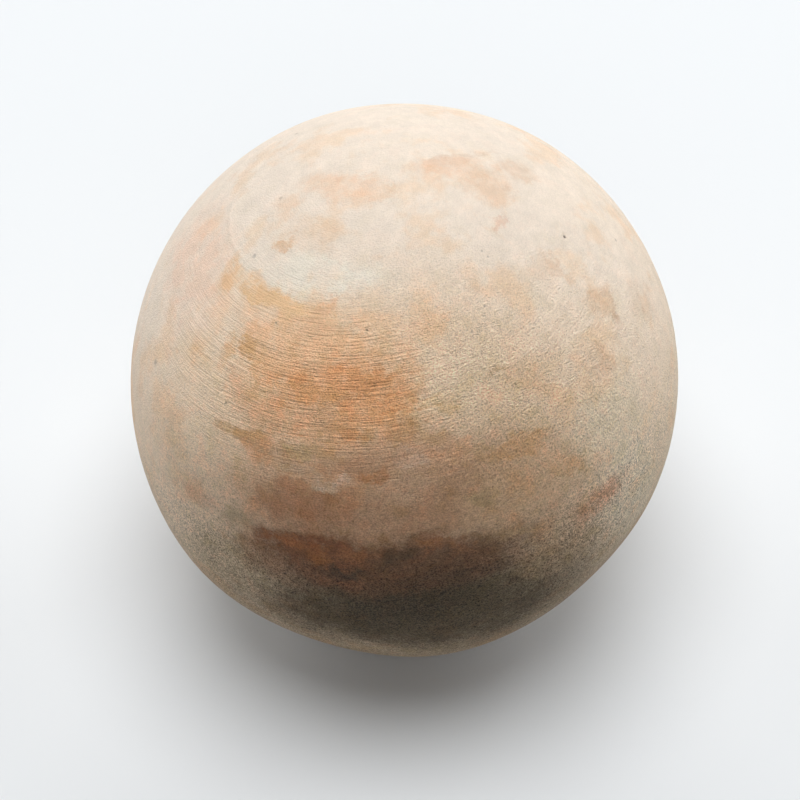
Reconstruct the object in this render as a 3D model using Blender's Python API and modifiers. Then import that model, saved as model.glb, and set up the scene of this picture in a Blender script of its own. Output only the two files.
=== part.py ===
"""Wooden croquet ball: one solid ball, turned on a lathe from a single block of wood.

Frame: metres, +Z up. The ball lies as it was put down: its turning axis leans a
little to the left of the vertical. The origin is the point where the ball touches
the ground, so the centre of the ball is at (0, 0, BALL_RADIUS). -Y is the face seen
from the front.

The ball has no seam, core, plug or moving piece, so it is one object.
"""

import math

import bpy
import numpy as np
from mathutils import Matrix

# ---------------------------------------------------------------- driving dimensions
BALL_DIAMETER = 0.092  # regulation croquet ball, 3 5/8 in
BALL_RADIUS = BALL_DIAMETER / 2
PROFILE_SEGMENTS = 44  # facets from pole to pole
TURN_STEPS = 88  # facets round the turning axis

# How the ball lies: first spun about its turning axis, then leant towards -X.
AXIS_SPIN_DEG = 8.8
AXIS_LEAN_DEG = 8.2

# A ball turned from one block dries unevenly, so it ends up slightly out of round.
# Each entry is one broad swell (+) or flat (-), in the ball's own turning frame:
#   longitude in degrees from -Y towards +X, colatitude in degrees from the upper
#   pole, half-width in degrees, and height in metres.
DRYING_LUMPS = (
    (-60.0, 105.0, 20.0, 0.00080),  # the fullest place, low on the left
    (-6.0, 126.0, 15.0, 0.00060),  # low at the front
    (38.0, 119.0, 13.0, -0.00040),  # a flat, low on the right
    (-106.0, 66.0, 27.0, -0.00030),  # a broad flat on the left
    (-175.0, 40.0, 17.0, 0.00020),  # high at the back
    (122.0, 55.0, 22.0, 0.00020),  # high, at the right of the back
    (70.0, 97.0, 18.0, -0.00012),  # right side
    (150.0, 108.0, 26.0, 0.00045),  # low at the back
)

WOOD_COLOUR = (0.680, 0.440, 0.280, 1.0)  # linear RGB: bare, pale orange wood
WOOD_ROUGHNESS = 0.78
WOOD_METALLIC = 0.0

COLLECTION_NAME = "croquet_ball"
BALL_NAME = "turned_ball"


# ---------------------------------------------------------------- shape rules
def direction(longitude_deg, colatitude_deg):
    """Unit vector from the centre, with longitude 0 at -Y and growing towards +X."""
    lam, phi = math.radians(longitude_deg), math.radians(colatitude_deg)
    return np.array(
        (math.sin(phi) * math.sin(lam), -math.sin(phi) * math.cos(lam), math.cos(phi))
    )


def out_of_round(unit):
    """Height of the surface over the true sphere, in metres, for rows of unit vectors."""
    height = np.zeros(len(unit))
    for longitude, colatitude, half_width, rise in DRYING_LUMPS:
        cosine = unit @ direction(longitude, colatitude)
        spread = 1.0 - math.cos(math.radians(half_width))
        height += rise * np.exp((cosine - 1.0) / spread)
    return height


# ---------------------------------------------------------------- scene helpers
def clear_scene():
    for obj in list(bpy.data.objects):
        bpy.data.objects.remove(obj, do_unlink=True)


def wood_material():
    material = bpy.data.materials.new("bare_wood")
    material.use_nodes = True
    shader = material.node_tree.nodes["Principled BSDF"]
    shader.inputs["Base Color"].default_value = WOOD_COLOUR
    shader.inputs["Roughness"].default_value = WOOD_ROUGHNESS
    shader.inputs["Metallic"].default_value = WOOD_METALLIC
    material.diffuse_color = WOOD_COLOUR
    return material


def turned_blank(collection):
    """The true sphere as turned: a half-circle profile at +X, top to bottom, screwed round Z."""
    profile = bpy.data.meshes.new("ball_profile")
    points = []
    for i in range(PROFILE_SEGMENTS + 1):
        phi = math.pi * i / PROFILE_SEGMENTS
        on_axis = i in (0, PROFILE_SEGMENTS)
        radius = 0.0 if on_axis else BALL_RADIUS * math.sin(phi)
        points.append((radius, 0.0, BALL_RADIUS * math.cos(phi)))
    edges = [(i, i + 1) for i in range(PROFILE_SEGMENTS)]
    profile.from_pydata(points, edges, [])
    blank = bpy.data.objects.new("ball_blank", profile)
    collection.objects.link(blank)

    screw = blank.modifiers.new("turning", "SCREW")
    screw.axis = "Z"
    screw.angle = 2 * math.pi
    screw.screw_offset = 0.0
    screw.steps = TURN_STEPS
    screw.render_steps = TURN_STEPS
    screw.use_merge_vertices = True
    screw.merge_threshold = 0.00001
    screw.use_smooth_shade = True
    return blank


def dried_ball(blank, collection):
    """The blank's evaluated surface, moved out and in by the drying lumps."""
    bpy.context.view_layer.update()
    graph = bpy.context.evaluated_depsgraph_get()
    mesh = bpy.data.meshes.new_from_object(blank.evaluated_get(graph))
    mesh.name = BALL_NAME

    points = np.empty(len(mesh.vertices) * 3, dtype=np.float32)
    mesh.vertices.foreach_get("co", points)
    points = points.reshape(-1, 3).astype(np.float64)
    radii = np.linalg.norm(points, axis=1, keepdims=True)
    unit = points / radii
    points = unit * (radii + out_of_round(unit)[:, None])
    mesh.vertices.foreach_set("co", points.astype(np.float32).ravel())
    mesh.update()
    mesh.shade_smooth()

    ball = bpy.data.objects.new(BALL_NAME, mesh)
    collection.objects.link(ball)
    spin = Matrix.Rotation(math.radians(AXIS_SPIN_DEG), 4, "Z")
    lean = Matrix.Rotation(-math.radians(AXIS_LEAN_DEG), 4, "Y")
    ball.matrix_world = Matrix.Translation((0.0, 0.0, BALL_RADIUS)) @ lean @ spin
    bpy.data.objects.remove(blank, do_unlink=True)
    return ball


def main():
    clear_scene()
    collection = bpy.data.collections.new(COLLECTION_NAME)
    bpy.context.scene.collection.children.link(collection)
    ball = dried_ball(turned_blank(collection), collection)
    ball.data.materials.clear()
    ball.data.materials.append(wood_material())


main()
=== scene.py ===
import math

import bpy
import numpy as np
from mathutils import Matrix, Vector


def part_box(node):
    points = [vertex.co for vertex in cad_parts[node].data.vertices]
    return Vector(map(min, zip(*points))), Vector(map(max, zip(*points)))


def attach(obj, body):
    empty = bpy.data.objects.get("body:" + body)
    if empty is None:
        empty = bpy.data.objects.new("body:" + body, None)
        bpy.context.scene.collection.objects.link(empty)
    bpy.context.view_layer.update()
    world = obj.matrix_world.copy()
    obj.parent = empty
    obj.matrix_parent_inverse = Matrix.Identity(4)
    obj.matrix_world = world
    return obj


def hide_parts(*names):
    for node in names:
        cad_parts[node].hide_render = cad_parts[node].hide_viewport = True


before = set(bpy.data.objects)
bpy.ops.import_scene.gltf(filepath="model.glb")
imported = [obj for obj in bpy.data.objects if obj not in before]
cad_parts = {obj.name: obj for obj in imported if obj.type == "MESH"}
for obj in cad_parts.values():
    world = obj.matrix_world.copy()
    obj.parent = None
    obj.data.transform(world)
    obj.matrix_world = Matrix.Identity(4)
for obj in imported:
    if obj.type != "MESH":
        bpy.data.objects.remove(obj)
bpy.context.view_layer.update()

# ------------------------------------------------------------------ the ball's frame
lowest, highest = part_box("turned_ball")
BALL_R = 0.046  # metres, the same radius as the CAD ball
CENTRE = np.array((0.0, 0.0, BALL_R))
MM = 0.001

# How the ball lies: spun about its turning axis, then leant towards -X, as in the CAD.
# Below, n is a unit vector in the ball's own turning frame, with its axis along +Z.
AXIS_SPIN_DEG = 8.8
AXIS_LEAN_DEG = 8.2
LIE = Matrix.Rotation(-math.radians(AXIS_LEAN_DEG), 3, "Y") @ Matrix.Rotation(
    math.radians(AXIS_SPIN_DEG), 3, "Z"
)

# The broad swells and flats of a block that dried unevenly, the same as in the CAD:
# longitude from the front towards +X, colatitude from the top pole, half-width, height in mm.
DRYING_LUMPS = (
    (-60.0, 105.0, 20.0, 0.80),
    (-6.0, 126.0, 15.0, 0.60),
    (38.0, 119.0, 13.0, -0.40),
    (-106.0, 66.0, 27.0, -0.30),
    (-175.0, 40.0, 17.0, 0.20),
    (122.0, 55.0, 22.0, 0.20),
    (70.0, 97.0, 18.0, -0.12),
    (150.0, 108.0, 26.0, 0.45),
)


def direction(longitude_deg, colatitude_deg):
    lam, phi = math.radians(longitude_deg), math.radians(colatitude_deg)
    return np.array(
        (math.sin(phi) * math.sin(lam), -math.sin(phi) * math.cos(lam), math.cos(phi))
    )


# ------------------------------------------------------------------ noise in numpy
def _hash(ix, iy, iz, seed):
    """A repeatable number in 0..1 for each integer lattice point."""
    n = (
        ix.astype(np.int64) * 73856093
        ^ iy.astype(np.int64) * 19349663
        ^ iz.astype(np.int64) * 83492791
        ^ np.int64(seed * 2654435761 % 2147483647)
    )
    n = (n ^ (n >> 13)) * 1274126177
    n = n ^ (n >> 16)
    return (n & 0xFFFFFF).astype(np.float64) / 0xFFFFFF


def value_noise(x, y, z, seed):
    """Smooth noise in -1..1 at unit lattice spacing."""
    ix, iy, iz = np.floor(x), np.floor(y), np.floor(z)
    fx, fy, fz = x - ix, y - iy, z - iz
    ux, uy, uz = (f * f * f * (f * (f * 6 - 15) + 10) for f in (fx, fy, fz))
    total = 0.0
    for dx in (0, 1):
        wx = ux if dx else 1 - ux
        for dy in (0, 1):
            wy = uy if dy else 1 - uy
            for dz in (0, 1):
                wz = uz if dz else 1 - uz
                total = total + wx * wy * wz * _hash(ix + dx, iy + dy, iz + dz, seed)
    return total * 2 - 1


def fractal(p, scale, seed, octaves=3, gain=0.5):
    """Layered noise over points in mm, with its coarsest wavelength scale mm."""
    total, amp, norm = 0.0, 1.0, 0.0
    for k in range(octaves):
        q = p / (scale / 2**k) + 17.3 * (k + 1)
        total = total + amp * value_noise(q[:, 0], q[:, 1], q[:, 2], seed + 31 * k)
        norm += amp
        amp *= gain
    return total / norm


def smooth(x, lo, hi):
    t = np.clip((x - lo) / (hi - lo), 0, 1)
    return t * t * (3 - 2 * t)


def around(lon, centre, half, soft):
    """1 within half degrees of the centre longitude, falling to 0 over soft degrees."""
    d = np.abs((lon - centre + 180) % 360 - 180)
    return 1 - smooth(d, half, half + soft)


# ------------------------------------------------------------------ the turned surface
def ring_grooves(s, lon, seed, pitch, length_deg):
    """Grooves of a hand-held scraper: rings at uneven spacing, each broken into arcs.

    s is the distance from the pole along the surface in mm; returns 0 at the surface
    and down to about -1 at the bottom of a deep groove.
    """
    rng = np.random.default_rng(seed)
    steps = rng.uniform(0.62, 1.45, 4000) * pitch
    at = np.cumsum(steps)
    at = at[at < s.max() + 2 * pitch]
    depth = rng.uniform(0.25, 1.0, len(at)) ** 1.3
    out = np.zeros_like(s)
    near = np.searchsorted(at, s)
    for shift in (-1, 0):
        k = np.clip(near + shift, 0, len(at) - 1)
        wander = 0.28 * pitch * value_noise(lon / 23.0, k * 1.0, k * 0.37, seed + 3)
        off = np.abs(s - at[k] - wander) / (0.34 * pitch)
        arc = value_noise(lon / length_deg + k * 7.13, k * 3.1, k * 0.0, seed + 5)
        arc = 0.35 + 0.65 * smooth(arc, -0.35, 0.45)
        out = np.minimum(out, -depth[k] * arc * np.clip(1 - off, 0, 1) ** 1.2)
    return out


# Marks of the tool and of knocks, each in the ball's own longitude and colatitude.
SECOND_POLE = (-52.0, 4.5)  # the ball was chucked again, a little out of line, for the second cut
RIDGE = ((8, 46.2), (14, 47.1), (20, 48.3), (26, 48.9), (34, 48.6), (42, 48.1), (52, 47.4), (59, 45.3), (68, 40.5))
CREASE = ((-62, 72.5), (-28, 74.0), (-12, 74.6), (0, 77.2), (8, 79.4), (20, 78.6), (32, 75.6), (48, 73.5))
PITS = (  # longitude, colatitude, radius mm, depth mm
    (70.9, 41.6, 0.52, 0.36),
    (-8.8, 33.3, 0.42, 0.20),
    (-41.5, 33.9, 0.36, 0.14),
    (-48.9, 52.0, 0.50, 0.18),
    (-23.6, 91.2, 0.70, 0.25),
    (2.0, 89.7, 0.50, 0.20),
    (-0.2, 93.2, 0.40, 0.15),
    (44.8, 28.5, 0.35, 0.10),
    (44.5, 30.1, 0.35, 0.10),
    (30.8, 36.7, 0.40, 0.12),
    (22.9, 39.4, 0.35, 0.10),
    (-77.5, 57.6, 0.90, 0.10),
    (-68.4, 25.6, 0.70, 0.09),
    (150.0, 62.0, 0.60, 0.20),
    (-150.0, 84.0, 0.70, 0.22),
    (118.0, 96.0, 0.50, 0.18),
    (-124.0, 118.0, 0.80, 0.22),
    (60.0, 128.0, 0.60, 0.20),
    (174.0, 134.0, 0.70, 0.20),
)


def along(lon, path):
    """The colatitude of a listed line at each longitude."""
    lons, cols = zip(*path)
    return np.interp((lon + 180) % 360 - 180, lons, cols)


def surface_height(n):
    """Height over the true sphere in mm, for rows of unit vectors from the centre."""
    lon = np.degrees(np.arctan2(n[:, 0], -n[:, 1]))
    col = np.degrees(np.arccos(np.clip(n[:, 2], -1, 1)))
    p = n * 46.0
    s = np.radians(col) * 46.0
    s_second = np.arccos(np.clip(n @ direction(*SECOND_POLE), -1, 1)) * 46.0
    h = np.zeros(len(n))
    for lam, phi, half, rise in DRYING_LUMPS:
        spread = 1 - math.cos(math.radians(half))
        h += rise * np.exp((n @ direction(lam, phi) - 1) / spread)
    h += 0.07 * fractal(p, 22.0, 11, 2) + 0.022 * fractal(p, 6.0, 12, 2)

    # main rings: strongest between the top and the widest part, at the front and left
    zone = smooth(col, 24, 31) * (1 - smooth(col, 60, 74)) * around(lon, -48, 62, 30)
    rings = 0.06 + 0.94 * zone
    rings = rings * (0.65 + 0.35 * fractal(p, 11.0, 21, 2))
    h += 0.070 * rings * ring_grooves(s, lon, 5, 0.60, 15.0)

    # the second cut, with its torn grain, on the right below the ridge
    torn = around(lon, 38, 36, 24) * smooth(col, 40, 52) * (1 - smooth(col, 84, 98))
    lower = smooth(col, 50, 66) * (1 - smooth(col, 96, 112)) * around(lon, 0, 52, 40)
    behind = 0.45 * around(lon, 165, 60, 40) * smooth(col, 50, 70) * (1 - smooth(col, 120, 140))
    rough = np.clip(torn + 0.55 * lower + behind, 0, 1) * (0.7 + 0.5 * fractal(p, 7.0, 44, 2))
    h += 0.040 * torn * ring_grooves(s_second, lon, 9, 0.75, 6.0)
    arc = np.radians(lon) * 46.0 * np.sin(np.radians(col))
    h += 0.042 * rough * value_noise(arc / 0.95, s_second / 0.60, 0 * s, 61)
    h += 0.030 * rough * value_noise(arc / 0.70 + s_second / 1.2, s_second / 0.36, 0 * s, 62)

    # a low ridge where the two cuts meet, and the line where the top cap was parted off
    off = (col - along(lon, RIDGE)) * 0.803
    here = around(lon, 36, 22, 9)
    h += here * (0.075 * np.exp(-((off / 0.30) ** 2)) - 0.055 * np.exp(-(((off - 0.72) / 0.40) ** 2)))
    off = (col - 28.2 + 1.3 * smooth(lon, -88, -55)) * 0.803
    h += 0.05 * around(lon, -88, 40, 20) * np.exp(-((off / 0.32) ** 2))

    # the crease above the widest part: a rounded lip, then the surface falls away
    off = col - along(lon, CREASE)
    here = around(lon, -5, 27, 18)
    h += here * 0.07 * np.exp(-(((off + 0.9) / 1.0) ** 2))
    h -= here * 0.24 * smooth(off, -0.2, 2.4) * (1 - smooth(off, 5, 24))

    for lam, phi, radius, depth in PITS:
        away = 46.0 * np.arccos(np.clip(n @ direction(lam, phi), -1, 1)) / radius
        h -= depth * np.exp(-(away**2) * 1.6) - 0.12 * depth * np.exp(-((away - 1.7) ** 2) * 3)
    return h


def ball_mesh():
    """A closed ball with its rings of vertices round the turning axis, finer where the cut shows."""
    cols = np.concatenate([np.arange(0.5, 20, 0.5), np.arange(20, 92, 0.2), np.arange(92, 180, 1.2)])
    lons = np.concatenate([np.arange(-16, 74, 0.8), np.arange(74, 344, 3.0)])
    nr, ns = len(cols), len(lons)
    phi = np.radians(cols)[:, None]
    lam = np.radians(lons)[None, :]
    n = np.stack(
        [np.sin(phi) * np.sin(lam), -np.sin(phi) * np.cos(lam), np.cos(phi) + 0 * lam], -1
    ).reshape(-1, 3)
    n = np.vstack([n, (0, 0, 1), (0, 0, -1)])
    h = surface_height(n)
    points = CENTRE + (n * (BALL_R + h * MM)[:, None]) @ np.array(LIE).T
    top, bottom = nr * ns, nr * ns + 1
    i = np.arange(nr - 1)[:, None] * ns
    j = np.arange(ns)[None, :]
    j2 = (j + 1) % ns
    quads = np.stack([i + j, i + ns + j, i + ns + j2, i + j2], -1).reshape(-1, 4)
    j = np.arange(ns)
    j2 = (j + 1) % ns
    caps = np.vstack(
        [
            np.stack([np.full(ns, top), j, j2], -1),
            np.stack([np.full(ns, bottom), (nr - 1) * ns + j2, (nr - 1) * ns + j], -1),
        ]
    )
    mesh = bpy.data.meshes.new("turned_wood")
    mesh.from_pydata(points.tolist(), [], quads.tolist() + caps.tolist())

    # a plain map, longitude across and colatitude down, for the baked textures
    uv = mesh.uv_layers.new(name="OFBake")
    across = np.append(lons, lons[0] + 360.0)
    across = (across - across[0]) / 360.0
    down = 1 - np.concatenate([[0.0], cols, [180.0]]) / 180.0
    q = np.empty((nr - 1, ns, 4, 2))
    q[..., 0, 0] = q[..., 1, 0] = across[:-1]
    q[..., 2, 0] = q[..., 3, 0] = across[1:]
    q[..., 0, 1] = q[..., 3, 1] = down[1:-2, None]
    q[..., 1, 1] = q[..., 2, 1] = down[2:-1, None]
    c = np.empty((2, ns, 3, 2))
    c[0, :, 0] = np.stack([(across[:-1] + across[1:]) / 2, np.full(ns, down[0])], -1)
    c[0, :, 1] = np.stack([across[:-1], np.full(ns, down[1])], -1)
    c[0, :, 2] = np.stack([across[1:], np.full(ns, down[1])], -1)
    c[1, :, 0] = np.stack([(across[:-1] + across[1:]) / 2, np.full(ns, down[-1])], -1)
    c[1, :, 1] = np.stack([across[1:], np.full(ns, down[-2])], -1)
    c[1, :, 2] = np.stack([across[:-1], np.full(ns, down[-2])], -1)
    uv.data.foreach_set("uv", np.concatenate([q.reshape(-1), c.reshape(-1)]).astype(np.float32))
    mesh.shade_smooth()
    mesh.update()
    return mesh


ball = bpy.data.objects.new("ball_turned_wood", ball_mesh())
bpy.context.scene.collection.objects.link(ball)
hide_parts("turned_ball")
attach(ball, "root")

# ------------------------------------------------------------------ bare wood
# The broad colours of the front, then the stains with ragged edges; the near-black ones below the widest part are
# partly painted shade. Each: longitude, colatitude, half-width along the ring and across it in degrees, turn in
# degrees, colour, strength, softness.
WOOD_GROUNDS_AND_BELLY_SHADE = (
    (-10, 50, 46, 25, 0, (0.75, 0.55, 0.38), 0.95, 0.50),
    (-10, 67, 32, 14, 0, (0.49, 0.295, 0.18), 0.95, 0.45),
    (22, 73, 14, 10, 0, (0.64, 0.44, 0.28), 0.75, 0.50),
    (-55, 68, 10, 12, 0, (0.74, 0.58, 0.43), 0.75, 0.50),
    (44, 72, 9, 10, 0, (0.76, 0.63, 0.47), 0.80, 0.50),
    # the near-black belly below the widest part: partly a darker stain, partly painted shade where the front turns away
    # from the light
    (-14, 94, 27, 14, -6, (0.135, 0.100, 0.056), 0.96, 0.48),
    (4, 100, 24, 15, 8, (0.135, 0.101, 0.058), 0.94, 0.48),
    (-8, 90, 13, 9, 0, (0.085, 0.062, 0.038), 0.75, 0.60),
    (-10, 82.5, 29, 6.5, 0, (0.20, 0.108, 0.06), 0.95, 0.45),
    (-46, 88, 10, 8, 0, (0.54, 0.43, 0.30), 0.75, 0.50),
    (-36, 84, 6, 5, 0, (0.36, 0.235, 0.15), 0.80, 0.55),
    (14, 45, 10, 7, 0, (0.79, 0.62, 0.455), 0.60, 0.55),
    (-4, 64, 6, 3.5, 0, (0.56, 0.38, 0.255), 0.70, 0.55),
    (44, 92, 8, 12, 0, (0.74, 0.65, 0.51), 0.75, 0.50),
    (24, 90, 9, 7, 0, (0.46, 0.33, 0.21), 0.70, 0.50),
)
STAINS_AND_CREASE_SHADE = (
    # the orange heart of the front
    (-22, 43, 16, 11, 6, (0.73, 0.44, 0.25), 1.0, 0.40),
    (-17, 43, 12, 4, 3, (0.69, 0.35, 0.175), 0.85, 0.50),
    (-35, 35, 12, 5, 8, (0.75, 0.48, 0.295), 0.85, 0.50),
    (-45, 29, 12, 2.6, 4, (0.76, 0.50, 0.29), 0.90, 0.45),
    (-28, 50, 12, 4, 5, (0.66, 0.40, 0.24), 0.75, 0.50),
    (-7, 47, 5, 4, 0, (0.74, 0.43, 0.24), 0.60, 0.60),
    (-54, 44, 1.5, 3.5, 20, (0.72, 0.46, 0.27), 0.80, 0.40),
    (-64, 48, 7, 6, 0, (0.77, 0.58, 0.41), 0.60, 0.60),
    (11, 34, 4, 5, 0, (0.78, 0.53, 0.35), 0.75, 0.50),
    (33, 52, 5, 3, 0, (0.70, 0.51, 0.34), 0.60, 0.50),
    # the pale top and its marks
    (-28, 22, 12, 3.6, 0, (0.78, 0.69, 0.575), 0.85, 0.50),
    (-75, 27, 6, 5, 0, (0.79, 0.68, 0.56), 0.60, 0.50),
    (-75, 4, 8.5, 3.2, -48, (0.75, 0.55, 0.41), 1.0, 0.50),
    (-84, 15, 3.5, 2.6, -40, (0.75, 0.57, 0.43), 0.90, 0.50),
    (-59, 19, 1.8, 1.3, -30, (0.70, 0.49, 0.33), 0.95, 0.45),
    (-46, 14, 5, 2.4, -15, (0.75, 0.57, 0.42), 0.80, 0.50),
    (41, 7, 1.9, 1.4, 40, (0.72, 0.54, 0.40), 0.90, 0.45),
    (-40, 17, 4, 2, 0, (0.75, 0.57, 0.42), 0.60, 0.50),
    (93, 17, 7, 3.2, 80, (0.72, 0.52, 0.385), 1.0, 0.45),
    (80, 24, 5, 4.5, 0, (0.72, 0.53, 0.39), 1.0, 0.45),
    (105, 21, 0.8, 8, 0, (0.66, 0.49, 0.37), 0.60, 0.50),
    (60.5, 27.7, 1.3, 1.3, 0, (0.69, 0.48, 0.36), 0.70, 0.50),
    (-88, 38, 13, 9, 0, (0.81, 0.60, 0.465), 1.0, 0.60),
    (55, 39, 3.4, 2.6, 30, (0.71, 0.53, 0.39), 0.95, 0.60),
    (59, 42, 1.3, 4.2, 0, (0.70, 0.50, 0.35), 0.85, 0.60),
    (46, 38, 3, 3, 20, (0.73, 0.58, 0.44), 0.60, 0.60),
    (62, 56, 1.1, 2.4, 20, (0.66, 0.45, 0.31), 1.0, 0.60),
    (50, 60, 1.6, 2.6, 20, (0.71, 0.51, 0.36), 0.90, 0.60),
    (34, 31, 1.8, 3.2, 0, (0.73, 0.55, 0.40), 0.70, 0.50),
    # browner marks lower down
    (-41, 56, 6, 2.4, -6, (0.57, 0.335, 0.17), 1.0, 0.45),
    (-34, 57.5, 7, 2.2, 0, (0.52, 0.32, 0.19), 0.70, 0.50),
    (-23, 61, 10, 1.5, 3, (0.60, 0.44, 0.31), 0.60, 0.50),
    (-27, 67, 8.5, 4.6, 0, (0.46, 0.245, 0.14), 0.85, 0.50),
    (5, 59, 5, 4, 0, (0.61, 0.38, 0.24), 0.75, 0.50),
    (23, 62, 5, 2, 10, (0.62, 0.38, 0.215), 0.80, 0.45),
    (34, 84.5, 6, 3.2, 14, (0.62, 0.37, 0.24), 0.80, 0.65),
    (-26, 77.8, 12, 4.4, 0, (0.25, 0.115, 0.058), 1.0, 0.45),
    (0, 77.6, 6, 2.2, 0, (0.36, 0.19, 0.11), 0.80, 0.45),
    (6, 76.5, 6, 1.0, 0, (0.56, 0.40, 0.27), 0.55, 0.50),
    (-22, 84, 6, 3, 0, (0.24, 0.115, 0.06), 0.70, 0.50),
    (-31, 76.5, 3.5, 1.8, 0, (0.38, 0.16, 0.07), 0.95, 0.50),
    (-24, 78.5, 3.0, 2.2, 10, (0.36, 0.155, 0.065), 0.95, 0.50),
    (-17, 77.5, 2.6, 1.4, 0, (0.34, 0.15, 0.07), 0.90, 0.50),
    # near-black marks just below the crease: partly stain, partly painted shade where the surface falls away from the
    # light
    (-20, 82, 5, 1.4, 0, (0.12, 0.075, 0.045), 0.85, 0.50),
    (-9, 79, 3, 1.6, 0, (0.13, 0.085, 0.05), 0.80, 0.50),
    (-2, 78.6, 2.4, 1.3, 0, (0.36, 0.17, 0.08), 0.90, 0.50),
    (4, 80, 2.4, 1.3, 0, (0.32, 0.16, 0.08), 0.80, 0.50),
    # the dark band below the crease: partly stain, partly painted shade
    (0, 86, 12, 2.0, 0, (0.12, 0.075, 0.045), 0.70, 0.60),
    (46, 60, 3, 4, 0, (0.73, 0.54, 0.39), 0.55, 0.50),
    # small marks with ragged edges
    (-71, 32, 3.0, 2.6, -38, (0.77, 0.53, 0.34), 1.0, 0.45),
    (-53, 30, 4.6, 2.2, -26, (0.75, 0.49, 0.28), 1.0, 0.40),
    (-25, 31, 1.5, 4.2, 20, (0.74, 0.47, 0.29), 0.90, 0.45),
    (-31, 35, 1.2, 4.0, 24, (0.74, 0.46, 0.28), 0.90, 0.45),
    (-47, 41, 1.8, 3.2, 16, (0.66, 0.39, 0.20), 1.0, 0.40),
    (-28, 46, 6.0, 2.6, -9, (0.66, 0.35, 0.17), 1.0, 0.40),
    (-12, 42, 5.1, 1.8, 3, (0.66, 0.33, 0.16), 1.0, 0.40),
    (-7, 49, 3.7, 1.9, 6, (0.69, 0.38, 0.20), 1.0, 0.45),
    (-48, 47, 2.1, 2.3, -23, (0.72, 0.47, 0.30), 0.90, 0.45),
    (-28, 57, 2.4, 1.3, -9, (0.50, 0.35, 0.19), 0.90, 0.45),
    (-14, 52, 3.2, 1.2, 2, (0.64, 0.36, 0.19), 0.95, 0.45),
    (-10, 61, 2.4, 1.1, 5, (0.47, 0.25, 0.13), 0.95, 0.45),
    (-3, 54, 3.2, 2.3, 10, (0.60, 0.35, 0.19), 0.95, 0.45),
    (-20, 62, 4.0, 1.2, 0, (0.60, 0.46, 0.36), 0.80, 0.50),
    (-2, 59, 3.0, 1.6, 10, (0.58, 0.42, 0.31), 0.70, 0.50),
    (13, 36, 2.3, 3.8, 21, (0.77, 0.52, 0.33), 0.95, 0.45),
    (10, 50, 2.8, 1.9, 19, (0.72, 0.49, 0.30), 0.80, 0.50),
    (24, 48.6, 3.4, 0.7, 8, (0.60, 0.42, 0.26), 0.80, 0.50),
    (19, 63, 4.3, 1.5, 20, (0.60, 0.36, 0.20), 0.95, 0.45),
    (10, 70, 3.2, 1.7, 22, (0.47, 0.33, 0.19), 0.90, 0.45),
    (28, 72, 4.3, 2.1, 20, (0.66, 0.44, 0.27), 0.80, 0.50),
    (16, 80, 4.6, 1.6, 20, (0.50, 0.34, 0.20), 0.85, 0.50),
    (95, 32, 4.1, 2.9, 74, (0.72, 0.55, 0.42), 0.90, 0.50),
    (60, 53, 4.0, 2.5, 30, (0.72, 0.53, 0.38), 0.80, 0.50),
    (71, 64, 4.5, 4.5, 0, (0.76, 0.59, 0.45), 0.70, 0.60),
    (-63, 48, 3.6, 2.0, -20, (0.76, 0.55, 0.37), 0.85, 0.50),
    (-43, 75, 4.0, 2.6, -20, (0.52, 0.40, 0.27), 0.85, 0.50),
    (-52, 73, 3.4, 2.5, -20, (0.66, 0.46, 0.33), 0.80, 0.50),
    # the far side and underneath
    (170, 62, 34, 14, 8, (0.72, 0.52, 0.35), 0.80, 0.60),
    (-160, 48, 14, 6, -6, (0.73, 0.47, 0.29), 0.70, 0.50),
    (140, 78, 18, 8, 4, (0.58, 0.38, 0.24), 0.75, 0.50),
    (-130, 76, 16, 7, 0, (0.66, 0.45, 0.29), 0.70, 0.50),
    (-175, 100, 26, 12, 0, (0.44, 0.30, 0.19), 0.75, 0.50),
    (95, 104, 16, 9, 0, (0.52, 0.38, 0.25), 0.70, 0.50),
    (-100, 112, 18, 9, 0, (0.48, 0.34, 0.22), 0.70, 0.50),
    (30, 150, 22, 14, 0, (0.42, 0.31, 0.20), 0.70, 0.60),
    (-140, 145, 20, 12, 0, (0.36, 0.24, 0.15), 0.70, 0.60),
)

mat = bpy.data.materials.new("bare_turned_wood")
mat.use_nodes = True
nt = mat.node_tree
bs = nt.nodes["Principled BSDF"]


def wire(tree, value, socket):
    """Sets a socket to a number or a vector, or links another node's output to it."""
    if isinstance(value, bpy.types.NodeSocket):
        tree.links.new(value, socket)
    else:
        socket.default_value = value


def maths(tree, operation, *values, clamp=False):
    node = tree.nodes.new("ShaderNodeMath")
    node.operation = operation
    node.use_clamp = clamp
    for k, value in enumerate(values):
        wire(tree, value, node.inputs[k])
    return node.outputs[0]


def vector(tree, operation, *values, scale=None):
    node = tree.nodes.new("ShaderNodeVectorMath")
    node.operation = operation
    for k, value in enumerate(values):
        wire(tree, value, node.inputs[k])
    if scale is not None:
        wire(tree, scale, node.inputs["Scale"])
    return node.outputs["Value" if operation in ("DOT_PRODUCT", "LENGTH", "DISTANCE") else "Vector"]


def combine(tree, x, y, z):
    node = tree.nodes.new("ShaderNodeCombineXYZ")
    for k, value in enumerate((x, y, z)):
        wire(tree, value, node.inputs[k])
    return node.outputs[0]


def ranged(tree, value, lo, hi, to_lo=0.0, to_hi=1.0, kind="SMOOTHSTEP"):
    node = tree.nodes.new("ShaderNodeMapRange")
    node.interpolation_type = kind
    for k, item in enumerate((value, lo, hi, to_lo, to_hi)):
        wire(tree, item, node.inputs[k])
    return node.outputs["Result"]


def noise(tree, place, scale, detail=2.0, roughness=0.5, colour=False):
    node = tree.nodes.new("ShaderNodeTexNoise")
    wire(tree, place, node.inputs["Vector"])
    node.inputs["Scale"].default_value = scale
    node.inputs["Detail"].default_value = detail
    node.inputs["Roughness"].default_value = roughness
    return node.outputs["Color" if colour else "Fac"]


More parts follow.
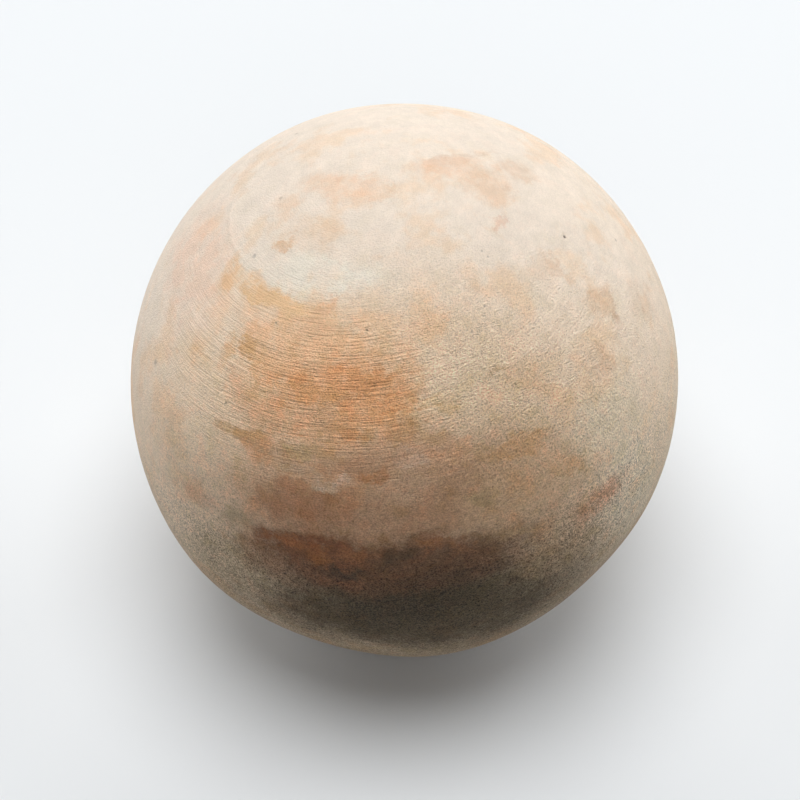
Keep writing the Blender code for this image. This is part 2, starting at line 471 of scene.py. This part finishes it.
def blend(tree, factor, under, over, mode="MIX"):
    node = tree.nodes.new("ShaderNodeMix")
    node.data_type = "RGBA"
    node.blend_type = mode
    wire(tree, factor, node.inputs["Factor"])
    for value, name in ((under, "A"), (over, "B")):
        socket = next(i for i in node.inputs if i.name == name and i.type == "RGBA")
        wire(tree, value if isinstance(value, bpy.types.NodeSocket) else (*value, 1.0), socket)
    return next(o for o in node.outputs if o.type == "RGBA")


def ramp(tree, value, stops):
    node = tree.nodes.new("ShaderNodeValToRGB")
    wire(tree, value, node.inputs["Fac"])
    elements = node.color_ramp.elements
    while len(elements) < len(stops):
        elements.new(0.5)
    for element, (place, colour) in zip(elements, stops):
        element.position = place
        element.color = (*colour, 1.0)
    return node.outputs["Color"]


def stain_group():
    """One soft oval on the unit ball: 1 inside it and 0 outside."""
    group = bpy.data.node_groups.new("soft_oval", "ShaderNodeTree")
    for name in ("Place", "Middle", "Along", "Across"):
        group.interface.new_socket(name, in_out="INPUT", socket_type="NodeSocketVector")
    group.interface.new_socket("Softness", in_out="INPUT", socket_type="NodeSocketFloat")
    group.interface.new_socket("Inside", in_out="OUTPUT", socket_type="NodeSocketFloat")
    given = group.nodes.new("NodeGroupInput").outputs
    end = group.nodes.new("NodeGroupOutput")
    u = vector(group, "DOT_PRODUCT", given["Place"], given["Along"])
    v = vector(group, "DOT_PRODUCT", given["Place"], given["Across"])
    r = vector(group, "LENGTH", combine(group, u, v, 0.0))
    outer = maths(group, "ADD", 1.0, given["Softness"])
    inner = maths(group, "SUBTRACT", 1.0, given["Softness"])
    inside = ranged(group, r, inner, outer, 1.0, 0.0)
    near = maths(group, "GREATER_THAN", vector(group, "DOT_PRODUCT", given["Place"], given["Middle"]), 0.0)
    group.links.new(maths(group, "MULTIPLY", inside, near), end.inputs[0])
    return group


# where a point is, in the ball's own turning frame: a unit vector, then mm
where = nt.nodes.new("ShaderNodeTexCoord").outputs["Object"]
from_centre = vector(nt, "SUBTRACT", where, tuple(CENTRE))
x, y, z = (vector(nt, "DOT_PRODUCT", from_centre, tuple(LIE.col[k])) for k in range(3))
unit = vector(nt, "NORMALIZE", combine(nt, x, y, z))
at_mm = vector(nt, "SCALE", unit, scale=46.0)
parts = nt.nodes.new("ShaderNodeSeparateXYZ")
wire(nt, unit, parts.inputs[0])
from_pole = maths(nt, "MULTIPLY", maths(nt, "ARCCOSINE", parts.outputs["Z"]), 46.0)
tilted = maths(
    nt,
    "MULTIPLY",
    maths(nt, "ARCCOSINE", vector(nt, "DOT_PRODUCT", unit, tuple(direction(*SECOND_POLE)))),
    46.0,
)

# noise that runs round the rings: slow along them and quick across them
sway = maths(nt, "MULTIPLY_ADD", noise(nt, at_mm, 0.10, 2), 0.9, from_pole)
sway2 = maths(nt, "MULTIPLY_ADD", noise(nt, at_mm, 0.15, 2), 1.1, tilted)


def ring_noise(distance, length_mm, width_mm, detail, shift):
    """Streaks length_mm long round the axis and width_mm across."""
    k = 1.0 / length_mm
    px = maths(nt, "MULTIPLY_ADD", parts.outputs["X"], 46.0 * k, shift)
    py = maths(nt, "MULTIPLY_ADD", parts.outputs["Y"], 46.0 * k, shift)
    return noise(nt, combine(nt, px, py, maths(nt, "MULTIPLY", distance, 1.0 / width_mm)), 1.0, detail)


long_streaks = ring_noise(sway, 7.0, 1.0, 4, 3.7)
fine_streaks = ring_noise(sway, 6.0, 0.24, 1, 11.1)
torn_streaks = ring_noise(sway2, 0.80, 0.62, 4, 7.3)
stipple = ring_noise(sway2, 0.27, 0.24, 1, 23.9)
cloud = noise(nt, at_mm, 0.075, 3)
mottle = noise(nt, at_mm, 0.42, 3, 0.6)
mottle_colour = noise(nt, at_mm, 0.30, 3, 0.6, colour=True)

# stain edges wander with the grain
shake = vector(nt, "SUBTRACT", noise(nt, at_mm, 0.13, 3, 0.6, colour=True), (0.5, 0.5, 0.5))
shaken = vector(nt, "ADD", unit, vector(nt, "SCALE", shake, scale=0.16))
ragged = vector(nt, "SUBTRACT", noise(nt, at_mm, 0.70, 5, 0.78, colour=True), (0.5, 0.5, 0.5))
shaken = vector(nt, "ADD", shaken, vector(nt, "SCALE", ragged, scale=0.11))
breakup = noise(nt, at_mm, 0.27, 4, 0.65)

lower_half = ranged(nt, from_pole, 32.0, 62.0)
colour = ramp(
    nt,
    maths(nt, "DIVIDE", maths(nt, "MULTIPLY_ADD", maths(nt, "SUBTRACT", cloud, 0.5), 16.0, from_pole), 144.5),
    (
        (0.00, (0.75, 0.63, 0.52)),
        (0.17, (0.77, 0.65, 0.54)),
        (0.30, (0.84, 0.70, 0.57)),
        (0.44, (0.83, 0.67, 0.52)),
        (0.54, (0.72, 0.58, 0.43)),
        (0.66, (0.52, 0.41, 0.29)),
        (1.00, (0.44, 0.33, 0.23)),
    ),
)
oval = stain_group()
streaky = maths(nt, "ADD", ranged(nt, breakup, 0.36, 0.62, 0.28, 1.0), maths(nt, "MULTIPLY", long_streaks, 0.55))


def soft_oval(place, lam, phi, along_deg, across_deg, turn, softness):
    """How far inside an oval a place on the unit ball is, 0 to 1."""
    l, f, t = math.radians(lam), math.radians(phi), math.radians(turn)
    middle = Vector((math.sin(f) * math.sin(l), -math.sin(f) * math.cos(l), math.cos(f)))
    east = Vector((math.cos(l), math.sin(l), 0.0))
    south = Vector((math.cos(f) * math.sin(l), -math.cos(f) * math.cos(l), -math.sin(f)))
    one = (east * math.cos(t) + south * math.sin(t)) / math.sin(math.radians(along_deg))
    two = (south * math.cos(t) - east * math.sin(t)) / math.sin(math.radians(across_deg))
    node = nt.nodes.new("ShaderNodeGroup")
    node.node_tree = oval
    wire(nt, place, node.inputs["Place"])
    node.inputs["Middle"].default_value = middle
    node.inputs["Along"].default_value = one
    node.inputs["Across"].default_value = two
    node.inputs["Softness"].default_value = softness
    return node.outputs[0]


steady = ranged(nt, breakup, 0.34, 0.60, 0.90, 1.02)

def after(done, place):
    """The same place, worked out only once the colour so far is done: this keeps the
    number of values that the shader holds at once small."""
    return vector(nt, "MULTIPLY_ADD", done, (1e-7, 1e-7, 1e-7), place)


# where the cut is rough: the front below the top, and part of the far side
rough = maths(nt, "MAXIMUM", soft_oval(unit, -8, 82, 60, 49, 0, 0.28),
    maths(nt, "MULTIPLY", soft_oval(unit, 165, 84, 62, 40, 0, 0.35), 0.7))
rough = maths(nt, "MULTIPLY_ADD", rough, 0.86, 0.14)
# where the scraper left clean rings, and where the grain tore instead
combed = maths(nt, "MULTIPLY", rough, maths(nt, "MAXIMUM", soft_oval(unit, -34, 44, 36, 21, 4, 0.40), 0.22))
broken = maths(nt, "SUBTRACT", rough, maths(nt, "MULTIPLY", combed, 0.45))

for k, (lam, phi, along_deg, across_deg, turn, tint, strength, softness) in enumerate(WOOD_GROUNDS_AND_BELLY_SHADE + STAINS_AND_CREASE_SHADE):
    inside = soft_oval(after(colour, shaken), lam, phi, along_deg, across_deg, turn, softness)
    inside = maths(nt, "MULTIPLY", inside, streaky if k >= len(WOOD_GROUNDS_AND_BELLY_SHADE) else steady)
    amount = maths(nt, "MULTIPLY", inside, strength, clamp=True)
    colour = blend(nt, amount, colour, tint)

# the colour is darker towards the low front: partly the wood's own darker underside, partly painted shade where the
# ball turns away from the light
low_front_stain_and_shade = ramp(nt, ranged(nt, vector(nt, "DOT_PRODUCT", after(colour, unit), tuple(direction(-13, 123))), -1.0, 1.0, kind="LINEAR"), (
    (0.125, (0.95, 0.95, 0.95)), (0.25, (1.0, 1.0, 1.0)), (0.375, (1.02, 1.02, 1.015)), (0.50, (0.995, 0.985, 0.975)),
    (0.625, (0.92, 0.905, 0.88)), (0.75, (0.745, 0.725, 0.70)), (0.875, (0.60, 0.58, 0.55)), (1.0, (0.53, 0.51, 0.48))))
low_front_stain_and_shade.node.color_ramp.interpolation = "B_SPLINE"
colour = blend(nt, 1.0, colour, low_front_stain_and_shade, "MULTIPLY")

# pinkish and olive mottling, stronger in the lower half where the cut is rougher
warm = noise(nt, at_mm, 0.12, 4, 0.62)
colour = blend(nt, ranged(nt, warm, 0.50, 0.66, 0.0, 0.8), colour, blend(nt, 1.0, colour, (1.0, 0.90, 0.80), "MULTIPLY"))
patchy = maths(nt, "MULTIPLY_ADD", rough, 0.80, 0.06)
tones = nt.nodes.new("ShaderNodeSeparateColor")
wire(nt, mottle_colour, tones.inputs[0])
hues = ramp(nt, tones.outputs["Red"], (
    (0.34, (0.92, 0.88, 0.76)), (0.44, (1.0, 0.98, 0.94)), (0.54, (1.03, 1.0, 0.98)), (0.66, (1.13, 1.01, 0.95))))
colour = blend(nt, patchy, colour, blend(nt, 1.0, colour, hues, "MULTIPLY"))


def swing(value, amount):
    return maths(nt, "MULTIPLY", maths(nt, "SUBTRACT", value, 0.5), amount)


# the grain's light and dark swing, paler where the bump below is high and darker where it is low, is partly painted
# relief shade, and low down, where the light grazes, it is made up to 2.2 times stronger
tone = maths(nt, "MULTIPLY", maths(nt, "ADD", swing(stipple, 2.1), swing(torn_streaks, 0.75)), broken)
tone = maths(nt, "ADD", tone, maths(nt, "MULTIPLY", swing(fine_streaks, 0.85), combed))
tone = maths(nt, "MULTIPLY", tone, ranged(nt, from_pole, 60.0, 70.0, 1.0, 2.2))
tone = maths(nt, "MULTIPLY_ADD", rough, 0.375, maths(nt, "ADD", tone, 0.010))
tone = maths(nt, "ADD", tone, maths(nt, "MULTIPLY", swing(long_streaks, 1.0), maths(nt, "MULTIPLY_ADD", rough, 0.20, 0.05)))
tone = maths(nt, "ADD", tone, swing(mottle, 0.26))
# thin brown streaks in the deeper cuts and pale crests: partly the grain's own colour, partly painted shade in the
# hollows and a painted highlight on the crests
colour = vector(nt, "MULTIPLY", colour, vector(nt, "MULTIPLY_ADD", combine(nt, tone, tone, tone), (0.96, 1.0, 1.03), (1.0, 1.0, 1.0)))
# dark streaks in the grooves: partly the grain's colour, partly painted shade
lines = maths(nt, "MULTIPLY", ranged(nt, fine_streaks, 0.62, 0.74), maths(nt, "MULTIPLY", combed, ranged(nt, torn_streaks, 0.40, 0.60, 0.2, 0.8)))
colour = blend(nt, lines, colour, blend(nt, 1.0, colour, (0.66, 0.50, 0.38), "MULTIPLY"))

# pores and specks: a few fine dark points, and the pits' dark floors
cells = nt.nodes.new("ShaderNodeTexVoronoi")
wire(nt, at_mm, cells.inputs["Vector"])
cells.inputs["Scale"].default_value = 0.24
kind = nt.nodes.new("ShaderNodeSeparateColor")
wire(nt, cells.outputs["Color"], kind.inputs[0])
speck = maths(nt, "MULTIPLY",
    ranged(nt, cells.outputs["Distance"], 0.05, 0.10, 1.0, 0.0),
    maths(nt, "GREATER_THAN", kind.outputs["Red"], 0.88))
colour = blend(nt, maths(nt, "MULTIPLY", speck, 0.30), colour, (0.22, 0.13, 0.08))
for lam, phi, radius, depth in PITS:
    away = vector(nt, "DISTANCE", after(colour, at_mm), tuple(46.0 * direction(lam, phi)))
    dark = ranged(nt, away, 0.15 * radius, 0.80 * radius, min(0.9, 2.6 * depth + 0.1), 0.0)
    colour = blend(nt, dark, colour, (0.09, 0.055, 0.04))

wire(nt, colour, bs.inputs["Base Color"])
wire(nt, maths(nt, "MULTIPLY_ADD", mottle, 0.18, 0.66), bs.inputs["Roughness"])
bs.inputs["Specular IOR Level"].default_value = 0.25

# the finest torn grain, too small for the mesh
grain = maths(nt, "MULTIPLY", maths(nt, "ADD", maths(nt, "MULTIPLY", stipple, 1.6), maths(nt, "MULTIPLY", torn_streaks, 0.8)), broken)
grain = maths(nt, "SUBTRACT", grain, maths(nt, "MULTIPLY", fine_streaks, maths(nt, "MULTIPLY_ADD", combed, 0.9, 0.04)))
bump = nt.nodes.new("ShaderNodeBump")
bump.inputs["Strength"].default_value = 1.0
bump.inputs["Distance"].default_value = 0.00060
wire(nt, grain, bump.inputs["Height"])
wire(nt, bump.outputs["Normal"], bs.inputs["Normal"])
ball.data.materials.append(mat)

# ------------------------------------------------------------------ floor, light, camera
scene = bpy.context.scene
scene.view_settings.view_transform = "Standard"
scene.view_settings.look = "None"

floor_mesh = bpy.data.meshes.new("floor")
floor_mesh.from_pydata([(-6, -6, 0), (6, -6, 0), (6, 6, 0), (-6, 6, 0)], [], [(0, 1, 2, 3)])
floor = bpy.data.objects.new("floor", floor_mesh)
scene.collection.objects.link(floor)
floor.location.z = float(-0.0001)
# Plain white paper under and round the ball.
fm = bpy.data.materials.new("floor_white")
fm.use_nodes = True
fnt = fm.node_tree
fb = fnt.nodes["Principled BSDF"]
fb.inputs["Roughness"].default_value = 1.0
fb.inputs["Specular IOR Level"].default_value = 0.0
geo = fnt.nodes.new("ShaderNodeNewGeometry")
path = fnt.nodes.new("ShaderNodeLightPath")
fb.inputs["Base Color"].default_value = (0.80, 0.80, 0.80, 1)
# Far off, the ground fades into the pale wall, as on a curved studio sheet.
distance = fnt.nodes.new("ShaderNodeVectorMath")
distance.operation = "LENGTH"
fnt.links.new(geo.outputs["Position"], distance.inputs[0])
haze = fnt.nodes.new("ShaderNodeMapRange")
haze.interpolation_type = "SMOOTHSTEP"
haze.inputs["From Min"].default_value = 0.35
haze.inputs["From Max"].default_value = 0.95
fnt.links.new(distance.outputs["Value"], haze.inputs["Value"])
seen = fnt.nodes.new("ShaderNodeMath")
seen.operation = "MULTIPLY"
fnt.links.new(path.outputs["Is Camera Ray"], seen.inputs[0])
fnt.links.new(haze.outputs["Result"], seen.inputs[1])
wall = fnt.nodes.new("ShaderNodeEmission")
wall.inputs["Color"].default_value = (0.93, 0.965, 1.0, 1)
wall.inputs["Strength"].default_value = 0.92
join = fnt.nodes.new("ShaderNodeMixShader")
fnt.links.new(seen.outputs["Value"], join.inputs[0])
fnt.links.new(fb.outputs[0], join.inputs[1])
fnt.links.new(wall.outputs[0], join.inputs[2])
fnt.links.new(join.outputs[0], fnt.nodes["Material Output"].inputs["Surface"])
floor.data.materials.append(fm)

# A plain pale room: the camera sees a white wall past the floor, and only the lights
# below light the ball.
world = bpy.data.worlds.new("studio")
world.use_nodes = True
wnt = world.node_tree
wb = wnt.nodes["Background"]
wb.inputs["Color"].default_value = (0.93, 0.965, 1.0, 1)
wpath = wnt.nodes.new("ShaderNodeLightPath")
wlevel = wnt.nodes.new("ShaderNodeMapRange")
wlevel.inputs["To Min"].default_value = 0.0  # the wall gives no light
wlevel.inputs["To Max"].default_value = 0.92  # the pale wall that the camera sees
wnt.links.new(wpath.outputs["Is Camera Ray"], wlevel.inputs["Value"])
wnt.links.new(wlevel.outputs["Result"], wb.inputs["Strength"])
scene.world = world


def softbox(name, place, size, energy, colour, target=(0, 0, 0.03)):
    light = bpy.data.lights.new(name, "AREA")
    light.shape = "DISK"
    light.size = size
    light.energy = energy
    light.color = colour
    obj = bpy.data.objects.new(name, light)
    scene.collection.objects.link(obj)
    obj.location = place
    obj.rotation_mode = "QUATERNION"
    obj.rotation_quaternion = (Vector(target) - Vector(place)).to_track_quat("-Z", "Y")
    return obj


softbox("overhead", (0.0, -0.07, 1.195), 0.9, 11.35, (0.955, 0.98, 1.0))
softbox("right_window", (0.80, 0.56, 0.52), 0.7, 3.5, (0.93, 0.97, 1.0))
softbox("left_back", (-0.80, 0.56, 0.52), 0.7, 2.85, (0.93, 0.97, 1.0))
softbox("left_wall", (-1.06, 0.0, 0.28), 0.5, 0.2, (0.95, 0.98, 1.0))
softbox("right_wall", (1.06, 0.0, 0.28), 0.5, 0.35, (0.95, 0.98, 1.0))
softbox("back_wall", (0.0, 1.02, 0.41), 0.8, 5.2, (0.93, 0.97, 1.0))
softbox("front_fill", (0.0, -0.92, 0.77), 0.8, 2.27, (0.955, 0.98, 1.0))

# The camera looks down at 47.2 degrees from the front, from eight ball radii away, and
# holds the ball a little over the middle of the frame.
CAMERA_ELEVATION_DEG = 47.2
cam_data = bpy.data.cameras.new("camera")
cam_data.sensor_width = 36
cam_data.lens = 98.1
cam = bpy.data.objects.new("camera", cam_data)
scene.collection.objects.link(cam)
tip = math.radians(CAMERA_ELEVATION_DEG)
back = Vector((0.0, -math.cos(tip), math.sin(tip)))
right = Vector((1.0, 0.0, 0.0))
up = back.cross(right)
basis = Matrix((right, up, back)).transposed()
aim = Matrix.Rotation(math.radians(-0.544), 3, "X") @ Matrix.Rotation(math.radians(0.105), 3, "Y")
cam.matrix_world = Matrix.Translation(Vector(CENTRE) + back * 8 * BALL_R) @ (basis @ aim).to_4x4()
scene.camera = cam
cam_data.clip_start, cam_data.clip_end = 0.01, 50
